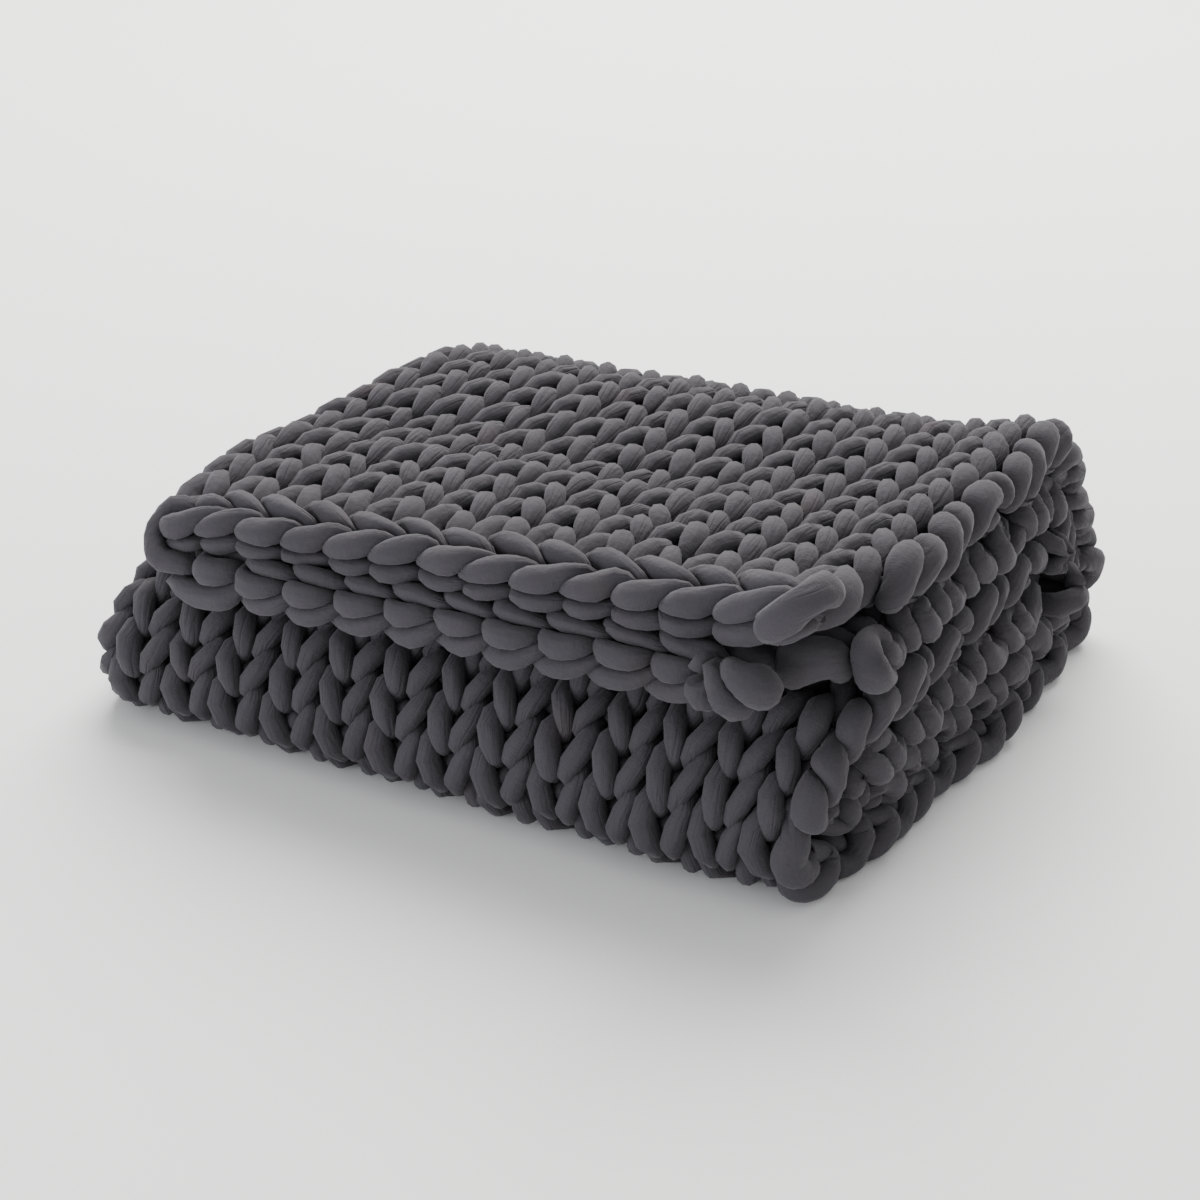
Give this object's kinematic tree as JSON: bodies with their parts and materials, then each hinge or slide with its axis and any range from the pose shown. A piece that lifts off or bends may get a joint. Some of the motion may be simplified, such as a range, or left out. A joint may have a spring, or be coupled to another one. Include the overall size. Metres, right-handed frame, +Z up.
{
  "type": "weighted blanket",
  "caption": "Heavy hand-knitted blanket of thick soft tube yarn, doubled over and folded in three into a low stack that rests flat.",
  "frame": {"origin": "centre of the folded stack's outline on the floor, at its flat underside", "axes": "+X to the open selvedge end, away from the doubled end; +Y to the round back fold, away from the edges that show; +Z up"},
  "size_m": [0.652, 0.5382, 0.2557],
  "materials": {
    "knit": "matte charcoal jersey over soft filling"
  },
  "bodies": {
    "root": {"blanket": "knit"}
  },
  "joints": []
}
